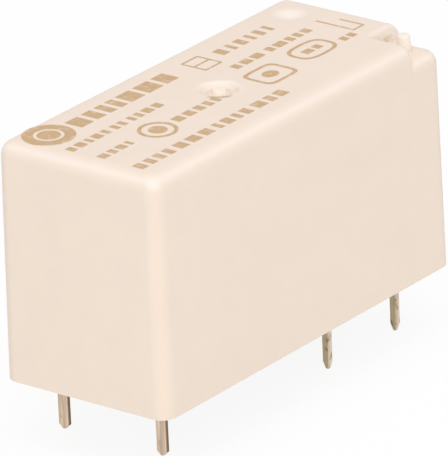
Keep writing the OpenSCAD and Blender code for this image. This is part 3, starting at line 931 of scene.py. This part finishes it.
@dataclass
class CoverSkin:
    """The moulded cover: leaning box, corner recess with its nib and pocket, and hollows.

    Attributes:
        draft: how far each side leans in, rim to top.
        edge_r: radius of the upright corners and the edges round the top.
        wall: wall thickness.
        inner_extra: how much rounder the inner edges are than the wall makes them.
        sink: how far the top lies below the CAD top, which leaves room for the print.
        edge_gain: how fast the painted highlight of an edge sets in where the skin bends.
        crown_gain: how fast it passes from edge to crown where the skin turns up.
        recess, gate, dish: the recess in the corner and the two hollows in the top.
        nib_x, nib_y, nib_h: the nib's middle, and its height above the recess's floor.
        nib_root_r, nib_tip_r, nib_edge_r: radii of its foot, its top and its upper edge.
        nib_sunk: how far it goes into the floor.
        pocket_x, pocket_z: the middle of the pocket's mouth.
        pocket_half_w, pocket_half_h, pocket_depth: its half width and height, and its depth.
        pocket_reach: how far from the wall's line the mouth's points may lie.
        nib_painted_light: strength of the painted light on the nib.
        body_lines: grid lines along X, Y and Z between the rounded edges.
        edge_lines, gate_lines, dish_lines, recess_lines: grid lines across each of these.
        nib_lines: rings up the nib's shaft, with both ends.
    """

    draft: float = 0.17
    edge_r: float = 1.0
    wall: float = 0.8
    inner_extra: float = 0.3
    sink: float = 0.012
    edge_gain: float = 3.4
    crown_gain: float = 2.5
    recess: Recess = field(default_factory=lambda: Recess(11.2, -2.85, 1.2))
    gate: Hollow = field(default_factory=lambda: Hollow(-0.6, -0.35, 1.25, 0.3, 0.74, 0.41, 0.85))
    dish: Hollow = field(default_factory=lambda: Hollow(11.68, 3.55, 1.05, 0.2, 0.0))
    nib_x: float = 12.8
    nib_y: float = -4.3
    nib_root_r: float = 0.5
    nib_tip_r: float = 0.41
    nib_edge_r: float = 0.18
    nib_h: float = 1.1
    nib_sunk: float = 0.2
    pocket_x: float = 13.075
    pocket_z: float = 14.57
    pocket_half_w: float = 0.425
    pocket_half_h: float = 0.23
    pocket_depth: float = 0.28
    pocket_reach: float = 0.12
    nib_painted_light: float = 1.5
    body_lines: tuple[int, int, int] = (34, 16, 16)
    edge_lines: int = 8
    gate_lines: int = 60
    dish_lines: int = 26
    recess_lines: int = 24
    nib_lines: int = 6

    def __post_init__(self) -> None:
        """Takes the outer size from the CAD cover."""
        low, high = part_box("cover")
        self.half_x = high[0] / MM
        self.half_y = high[1] / MM
        self.top = high[2] / MM - self.sink

    def lines(self) -> BoxNet:
        """Grid lines of the outer skin, close where the surface bends.

        Returns:
            The box whose points are bent into the skin.
        """
        turn = np.tan(np.linspace(0, math.pi / 4, self.edge_lines)) * self.edge_r
        core_x, core_y = self.half_x - self.edge_r, self.half_y - self.edge_r
        core_z = self.top - self.edge_r
        into, _ = self.recess.profile()
        wide_x = self.half_x / (self.half_x - self.draft)
        wide_y = self.half_y / (self.half_y - self.draft)
        nx, ny, nz = self.body_lines
        xs = merge_lines(
            band(-core_x, core_x, nx),
            -core_x - turn[::-1],
            core_x + turn,
            self.gate.lines(self.gate.x, self.gate_lines),
            self.dish.lines(self.dish.x, self.dish_lines),
            band(self.recess.wall_x, core_x, self.recess_lines) * wide_x,
            (self.recess.wall_x + into) * wide_x,
        )
        ys = merge_lines(
            band(-core_y, core_y, ny),
            -core_y - turn[::-1],
            core_y + turn,
            self.gate.lines(self.gate.y, self.gate_lines),
            self.dish.lines(self.dish.y, self.dish_lines),
            (self.recess.wall_y - into[::-1]) * wide_y,
        )
        zs = np.concatenate([band(0, core_z, nz)[:-1], core_z + turn])
        return BoxNet(xs, ys, zs)

    def formed(self, p: Array, inset: float, radius: float) -> tuple[Array, dict[str, Array]]:
        """Bends points of a box into the skin.

        A box point p goes to q + r (p - q) / |p - q|, where q is the nearest point of the box
        shrunk by r. The recess then lowers the upper band, with a smaller edge radius s there,
        so that the way out from q is (r - s) + s h, where h is the level part of the unit
        direction. The hollows lower the top, and the sides lean in with height.

        Args:
            p: points on the box.
            inset: how far inside the outer skin this one lies.
            radius: edge radius.

        Returns:
            The bent points, and the masks of the painted highlights, painted light and painted
            shade there.
        """
        half = np.array([self.half_x, self.half_y, self.top]) - inset
        p = p * (half / np.array([self.half_x, self.half_y, self.top]))
        core = half - radius
        q = np.clip(p, [-core[0], -core[1], -math.inf], core)
        d = p - q
        n = d / np.linalg.norm(d, axis=1, keepdims=True)
        x, y, z = (q + radius * n).T
        cut = self.recess_share(x, y, inset)
        soft = radius * (1 - (1 - self.recess.edge_share) * cut)
        aside = np.hypot(n[:, 0], n[:, 1])
        out = np.where(aside > TINY, (radius - soft) * (1 - aside) / np.maximum(aside, TINY), 0)
        x, y = x + out * n[:, 0], y + out * n[:, 1]
        floor = half[2] - self.recess.depth * cut
        upper = floor - (half[2] - z) * soft / radius
        lower = z * (floor - soft) / (half[2] - radius)
        z = np.where(z > half[2] - radius, upper, lower)
        level = n[:, 2] > LEVEL
        if inset == 0:
            z = z - np.where(level, self.gate.fall(x, y) + self.dish.fall(x, y), 0)
        lean = self.draft * z / self.top
        x = x * (1 - lean / half[0])
        y = y * (1 - lean / half[1])
        if inset == 0:
            y = y + self.pocket_depth * self.pocket(x, y, z)
        gate, dish = self.gate.marks(x, y), self.dish.marks(x, y)
        # Painted light from the hollows, then on the recess's wall, which would lie in shade.
        rub = level * (gate["rub"] + dish["rub"])
        rub = rub + np.sqrt(4 * cut * (1 - cut)) * np.clip(n[:, 2], 0, 1)
        # Painted highlight on the rounded edges: edge on the upright ones, crown where they turn
        # up into the top.
        edge = np.clip((1 - np.abs(n).max(axis=1)) * self.edge_gain, 0, 1)
        high = np.clip(n[:, 2] * self.crown_gain, 0, 1)
        marks = {
            "edge": edge * (1 - high),
            "crown": edge * high,
            "rub": rub,
            "soil": level * gate["soil"],
        }
        return np.stack([x, y, z], -1), marks

    def recess_share(self, x: Array, y: Array, inset: float) -> Array:
        """Share of the recess's depth, with its walls moved out by the inset.

        Args:
            x, y: places of the points in plan, before the sides lean in.
            inset: how far inside the outer skin they lie.

        Returns:
            0 outside the recess, 1 on its floor.
        """
        thin_x = 1 - self.draft / self.half_x
        thin_y = 1 - self.draft / self.half_y
        return self.recess.cut(x * thin_x + inset, y * thin_y - inset)

    def pocket(self, x: Array, y: Array, z: Array) -> Array:
        """Mask of the small pocket in the recess's long wall.

        Args:
            x, y, z: places of the points.

        Returns:
            1 in the pocket's mouth and 0 elsewhere.
        """
        wall = np.abs(y - self.recess.wall_y) < self.pocket_reach
        wide = np.abs(x - self.pocket_x) < self.pocket_half_w
        high = np.abs(z - self.pocket_z) < self.pocket_half_h
        return (wall & wide & high).astype(float)

    def nib(self) -> Surface:
        """Vent nib: a post that narrows upwards to a rounded top, rooted in the recess's floor.

        Returns:
            The post, with painted light that grows from its foot upwards.
        """
        floor = self.top - self.recess.depth
        turn = np.linspace(0, math.pi / 2, self.edge_lines)
        radius = self.nib_tip_r - self.nib_edge_r * (1 - np.cos(turn))
        crown = floor + self.nib_h - self.nib_edge_r * (1 - np.sin(turn))
        shaft = band(0, 1, self.nib_lines)[:-1]
        narrowing = self.nib_root_r + (self.nib_tip_r - self.nib_root_r) * shaft
        rising = floor + (self.nib_h - self.nib_edge_r) * shaft
        profile = [
            [[CLOSED_R, floor - self.nib_sunk], [self.nib_root_r, floor - self.nib_sunk]],
            np.stack([narrowing, rising], -1),
            np.stack([radius, crown], -1),
            [[CLOSED_R, floor + self.nib_h]],
        ]
        post = turned(np.concatenate(profile), (self.nib_x, self.nib_y))
        rise = np.clip((post.points[:, 2] - floor) / self.nib_h, 0, 1)
        # Painted light up the nib, paler towards its top.
        post.marks["rub"] = self.nib_painted_light * rise ** 0.3 * (1 - 0.35 * rise ** 4)
        return post

    def build(self) -> Object:
        """Makes the skin: outer face, lower rim and inner face in one closed surface.

        Returns:
            The cover's object.
        """
        points, quads, rim = self.lines().build(floored=False)
        outer, marks = self.formed(points, 0, self.edge_r)
        inner, _ = self.formed(points, self.wall, self.edge_r - self.wall + self.inner_extra)
        inner[:, 2] -= inner[:, 2].min()
        count = len(points)
        ring = np.stack([rim[:, 1], rim[:, 0], rim[:, 0] + count, rim[:, 1] + count], -1)
        skin = Surface(
            np.concatenate([outer, inner]),
            np.concatenate([quads, quads[:, ::-1] + count, ring]),
            {name: np.concatenate([mask, 0 * mask]) for name, mask in marks.items()},
        )
        return skin.joined(self.nib()).piece("cover_skin", COVER)

    def dress(self, cover: Object) -> None:
        """Puts the skin on its body, in place of the CAD cover.

        Args:
            cover: the skin's object.
        """
        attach(cover, HOUSING)
        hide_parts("cover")


# Print


@dataclass(frozen=True)
class BarRow:
    """A row of plain bars.

    Attributes:
        x0, x1: start and end of the row.
        y0, y1: lower and upper edge.
        bars: number of bars.
        gap: space between two bars over their height.
    """

    x0: float
    x1: float
    y0: float
    y1: float
    bars: int
    gap: float = 0.42

    def boxes(self, seed: int) -> Array:
        """Low and high corners of the bars, with uneven widths and even gaps.

        Args:
            seed: start of the random widths.

        Returns:
            One row of x0, x1, y0, y1 per bar.
        """
        share = np.random.default_rng(seed).uniform(0.6, 1.4, self.bars)
        gap = self.gap * (self.y1 - self.y0)
        room = self.x1 - self.x0 - gap * (self.bars - 1)
        wide = share / share.sum() * room
        start = self.x0 + np.concatenate([[0], np.cumsum(wide + gap)[:-1]])
        low, high = np.full(self.bars, self.y0), np.full(self.bars, self.y1)
        return np.stack([start, start + wide, low, high], -1)


@dataclass(frozen=True)
class Outline:
    """A closed outline of a simple shape, drawn as a band of even width.

    Attributes:
        x, y: centre in plan.
        half_x, half_y: half the length and half the width.
        power: 2 gives a ring and a large number a square.
        line: width of the band.
    """

    x: float
    y: float
    half_x: float
    half_y: float
    power: float
    line: float = 0.16

    def loop(self, steps: int = 72) -> tuple[Array, Array]:
        """Outer and inner points of the band, on a superellipse.

        Args:
            steps: points round the outline.

        Returns:
            The outer and the inner loop.
        """
        angle = np.linspace(0, math.tau, steps, endpoint=False)
        c, s = np.cos(angle), np.sin(angle)
        cx = np.sign(c) * np.abs(c) ** (2 / self.power)
        sy = np.sign(s) * np.abs(s) ** (2 / self.power)
        centre = np.array([self.x, self.y])
        unit = np.stack([cx, sy], -1)
        size = np.array([self.half_x, self.half_y])
        return centre + unit * size, centre + unit * (size - self.line)


@dataclass
class PadPrint:
    """Plain bars and outlines in ink on the cover's top.

    Attributes:
        top: height of the cover's top.
        ink: thickness of the ink film.
        root: how far the film goes into the plastic.
        rows, outlines, strokes: bars in rows, rings and boxes, and thin lines.
    """

    top: float
    ink: float = 0.008
    root: float = 0.02
    rows: tuple[BarRow, ...] = (
        BarRow(-9.9, -0.4, 2.85, 4.2, 7, 0.28),
        BarRow(-13.2, -9.5, 0.85, 1.55, 5),
        BarRow(-9.0, -7.9, 0.85, 1.55, 2),
        BarRow(-7.4, -4.4, 0.85, 1.55, 4),
        BarRow(-13.1, -10.2, -1.4, -0.75, 4),
        BarRow(-6.1, -1.9, -1.6, -0.85, 5),
        BarRow(-13.2, -9.9, -4.35, -3.5, 4),
        BarRow(-9.4, -6.1, -4.35, -3.5, 3),
        BarRow(-5.6, -2.3, -4.35, -3.5, 4),
        BarRow(-1.8, 1.2, -4.35, -3.5, 3),
        BarRow(4.0, 9.2, 2.8, 3.75, 6, 0.5),
        BarRow(2.6, 5.4, 0.65, 1.35, 3),
        BarRow(6.0, 10.2, 0.65, 1.35, 5),
        BarRow(9.8, 11.1, -2.1, -1.5, 2),
        BarRow(6.8, 8.4, -1.5, -0.9, 2),
    )
    outlines: tuple[Outline, ...] = (
        Outline(-11.9, 3.8, 1.65, 1.65, 2.0, 0.7),
        Outline(-11.9, 3.8, 0.74, 0.74, 2.0, 0.7),
        Outline(-7.8, -1.25, 1.25, 1.25, 2.0, 0.26),
        Outline(-7.8, -1.25, 0.6, 0.6, 2.0, 0.56),
        Outline(2.2, 3.15, 0.85, 1.0, 30.0),
        Outline(3.0, -1.5, 1.5, 1.25, 5.0, 0.24),
        Outline(3.0, -1.5, 0.6, 0.5, 2.0, 0.46),
        Outline(7.6, -1.2, 1.7, 1.15, 3.0, 0.24),
    )
    strokes: tuple[BarRow, ...] = (
        BarRow(1.54, 2.86, 3.07, 3.23, 1),
        BarRow(11.5, 11.66, -1.3, 1.5, 1),
        BarRow(12.5, 12.66, -1.3, 0.4, 1),
        BarRow(11.5, 12.66, -1.5, -1.34, 1),
    )

    def bars(self) -> Surface:
        """All bars as closed slabs: eight corners and six faces each.

        Returns:
            The slabs in one surface.
        """
        rows = [row.boxes(seed) for seed, row in enumerate(self.rows + self.strokes)]
        x0, x1, y0, y1 = np.concatenate(rows).T
        low, high = np.full_like(x0, self.top - self.root), np.full_like(x0, self.top + self.ink)
        corners = [
            np.stack([x, y, z], -1)
            for z in (low, high)
            for x, y in ((x0, y0), (x1, y0), (x1, y1), (x0, y1))
        ]
        points = np.stack(corners, 1).reshape(-1, 3)
        sides = [[k, (k + 1) % 4, (k + 1) % 4 + 4, k + 4] for k in range(4)]
        slab = np.array([[3, 2, 1, 0], [4, 5, 6, 7], *sides])
        quads = (slab[None] + 8 * np.arange(len(x0))[:, None, None]).reshape(-1, 4)
        return Surface(points, quads)

    def ring(self, outline: Outline) -> Surface:
        """An outline as a closed band: four loops joined round by quads.

        Args:
            outline: the shape to draw.

        Returns:
            The band's surface.
        """
        outer, inner = outline.loop()
        low, high = self.top - self.root, self.top + self.ink
        loops = [(outer, low), (outer, high), (inner, high), (inner, low)]
        points = np.concatenate([np.c_[flat, np.full(len(flat), z)] for flat, z in loops])
        return Surface(points, joined_loops(np.array([0, 1, 2, 3, 0]), len(outer)))

    def build(self) -> Object:
        """Makes all the print as one object.

        Returns:
            The print's object.
        """
        marks = self.bars()
        for outline in self.outlines:
            marks = marks.joined(self.ring(outline))
        return marks.piece("print_marks", INK)

    def dress(self, marks: Object) -> None:
        """Puts the print on the housing."""
        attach(marks, HOUSING)


# Underside


def pin_section(name: str) -> tuple[Array, Array]:
    """Section of a pin in plan, from the points of its terminal that lie below the board face.

    Args:
        name: node of the terminal.

    Returns:
        Lowest and highest X and Y in millimetres.
    """
    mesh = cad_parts[name].data
    flat = np.empty(len(mesh.vertices) * 3, np.float32)
    mesh.vertices.foreach_get("co", flat)
    points = flat.reshape(-1, 3) / MM
    below = points[points[:, 2] < PIN_Z, :2]
    return below.min(axis=0), below.max(axis=0)


@dataclass
class ResinFill:
    """Cast resin that creeps up the rim and the pins.

    Attributes:
        sag: how far the middle lies above the rim's plane.
        creep: length over which the resin climbs to a wall or pin.
        lines: grid lines along X, Y and Z.
    """

    sag: float = 0.1
    creep: float = 0.4
    lines: tuple[int, int, int] = (140, 60, 3)

    def build(self) -> Object:
        """Makes the fill: height is sag (1 - exp(-d / creep)), d from the nearest wall or pin.

        Returns:
            The resin's object.
        """
        low, high = (np.array(corner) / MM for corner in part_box("sealing_resin"))
        nx, ny, nz = self.lines
        net = BoxNet(band(low[0], high[0], nx), band(low[1], high[1], ny), band(0, high[2], nz))
        points, quads, _ = net.build(floored=True)
        x, y, z = points.T
        reach = np.minimum(high[0] - np.abs(x), high[1] - np.abs(y))
        for name in TERMINALS:
            near, far = pin_section(name)
            away = np.abs(points[:, :2] - (near + far) / 2) - (far - near) / 2
            reach = np.minimum(reach, np.hypot(*np.maximum(away, 0).T))
        rise = self.sag * (1 - np.exp(-reach / self.creep))
        z = np.where(z < TINY, rise, z)
        return Surface(np.stack([x, y, z], -1), quads).piece("resin_fill", RESIN)

    def dress(self, resin: Object) -> None:
        """Puts the fill in place of the CAD resin.

        Args:
            resin: the fill's object.
        """
        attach(resin, HOUSING)
        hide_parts("sealing_resin")


# Carried-over nodes


@dataclass
class NodeSet:
    """CAD nodes that keep their shape and get a finish.

    Attributes:
        name: what the set is, for the log.
        finishes: finish by node.
    """

    name: str
    finishes: dict[str, Finish]

    def build(self) -> list[Object]:
        """The set's CAD objects."""
        return [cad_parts[node] for node in self.finishes]

    def dress(self, nodes: list[Object]) -> None:
        """Gives each node its procedural material.

        Args:
            nodes: the set's CAD objects, in the order of the finishes.
        """
        for node, finish in zip(nodes, self.finishes.values()):
            node.data.materials.clear()
            node.data.materials.append(finish.material())


def node_sets() -> list[NodeSet]:
    """The parts under the cover and the pins, set by set.

    Returns:
        The sets, in the order in which they are dressed.
    """
    return [
        NodeSet("coil_pins", {name: COIL_TIN for name in TERMINALS[:2]}),
        NodeSet("contact_pins", {name: CONTACT_TIN for name in TERMINALS[2:]}),
        NodeSet("base", {"base": BASE}),
        NodeSet("coil", {
            "coil_bobbin": BOBBIN, "coil_winding": WIRE, "coil_tape": TAPE,
            "coil_start_wire": WIRE, "coil_end_wire": WIRE, "core": IRON, "yoke": IRON,
        }),
        NodeSet("drive", {
            "armature": IRON, "anti_stick_shim": FOIL,
            "armature_retaining_spring": STRIP, "actuator_slide": SLIDE,
        }),
        NodeSet("contacts", {
            "moving_contact_spring": COPPER, "moving_contact": SILVER,
            "normally_open_contact": SILVER, "normally_closed_contact": SILVER,
        }),
    ]


# Studio


@dataclass(frozen=True)
class Lamp:
    """A soft square lamp that looks at the relay.

    Attributes:
        name: name of the lamp.
        azimuth: direction it stands in, in degrees from -Y towards -X.
        elevation: degrees above the floor.
        distance: metres from the relay.
        side: length of its side in metres.
        power: watts.
        colour: tint of the light.
    """

    name: str
    azimuth: float
    elevation: float
    distance: float
    side: float
    power: float
    colour: Colour = (1.0, 1.0, 1.0)

    def build(self) -> None:
        """Makes the lamp and turns it to the relay."""
        light = bpy.data.lights.new(self.name, "AREA")
        light.shape = "SQUARE"
        light.size = self.side
        light.energy = self.power
        light.color = self.colour
        lamp = place(self.name, light)
        turn, lift = math.radians(self.azimuth), math.radians(self.elevation)
        lamp.location = (
            -self.distance * math.sin(turn) * math.cos(lift),
            -self.distance * math.cos(turn) * math.cos(lift),
            self.distance * math.sin(lift),
        )
        lamp.rotation_euler = (math.pi / 2 - lift, 0, -turn)


@dataclass
class Studio:
    """Camera solved from the photo, pale floor, white surroundings and soft lamps.

    Attributes:
        camera_at, camera_turn_deg: the camera's place in metres and its turn in degrees.
        lens_mm, sensor_mm: its focal length and sensor width.
        ambient: strength of the light from all around.
        clip: nearest and farthest distance that the camera shows, in metres.
        floor_half, floor_z: half the floor's side and its height, in metres.
        floor_lines: grid lines of the floor each way.
        lamps: the soft lamps.
    """

    camera_at: tuple[float, float, float] = (-0.34933067, -0.27653212, 0.19057267)
    camera_turn_deg: tuple[float, float, float] = (67.484458, 2.351677, -52.585762)
    lens_mm: float = 625.836
    sensor_mm: float = 36.0
    ambient: float = 0.6
    clip: tuple[float, float] = (0.01, 50.0)
    floor_half: float = 6.0
    floor_z: float = -0.0041
    floor_lines: int = 9
    lamps: tuple[Lamp, ...] = (
        Lamp("sky_lamp", 40.0, 75.0, 0.7, 0.5, 1.8, (1.0, 0.945, 1.05)),
        Lamp("front_lamp", 50.0, 25.0, 0.9, 0.5, 1.85, (1.0, 1.03, 1.0)),
    )

    def camera(self) -> None:
        """Makes the camera that the photo was solved for."""
        lens = bpy.data.cameras.new("photo_camera")
        lens.sensor_width = self.sensor_mm
        lens.lens = self.lens_mm
        lens.clip_start, lens.clip_end = self.clip
        lens.dof.use_dof = False
        camera = place("photo_camera", lens)
        camera.location = self.camera_at
        camera.rotation_euler = tuple(math.radians(a) for a in self.camera_turn_deg)
        bpy.context.scene.camera = camera

    def world(self) -> None:
        """White for the camera, mirrors and glass, and an even light for the rest."""
        world = bpy.data.worlds.new("studio_world")
        world.use_nodes = True
        bpy.context.scene.world = world
        graph = Graph(world.node_tree)
        level = graph.direct() * (1.0 - self.ambient) + self.ambient
        inputs = {"Color": (1.0, 1.0, 1.0, 1.0), "Strength": level}
        sky = graph.value("Background", "Background", None, inputs)
        graph.node("OutputWorld", None, {"Surface": sky})

    def floor(self) -> None:
        """Makes the pale floor that the pins stand on."""
        half, z = self.floor_half / MM, self.floor_z / MM
        line = band(-half, half, self.floor_lines)
        x, y = np.meshgrid(line, line, indexing="ij")
        index = np.arange(x.size).reshape(x.shape)
        quads = cells(index)
        points = np.stack([x, y, np.full_like(x, z)], -1).reshape(-1, 3)
        Surface(points, quads.reshape(-1, 4)).piece("studio_floor", FLOOR)

    def build(self) -> None:
        """Sets up camera, surroundings, floor and lamps."""
        self.camera()
        self.world()
        self.floor()
        for lamp in self.lamps:
            lamp.build()
        bpy.context.scene.view_settings.view_transform = "Standard"


# Main


def report(piece: Object) -> None:
    """Logs a piece's name and number of faces."""
    log.info("%s: %d faces", piece.name, len(piece.data.polygons))


def main() -> None:
    """Builds the studio, then the relay piece by piece."""
    logging.basicConfig(level=logging.INFO, format="%(name)s %(message)s")
    Studio().build()
    cover = CoverSkin()
    for part in (cover, PadPrint(cover.top), ResinFill()):
        piece = part.build()
        part.dress(piece)
        report(piece)
    for group in node_sets():
        log.info("set of nodes: %s", group.name)
        nodes = group.build()
        group.dress(nodes)
        for node in nodes:
            report(node)


if __name__ == "__main__":
    main()
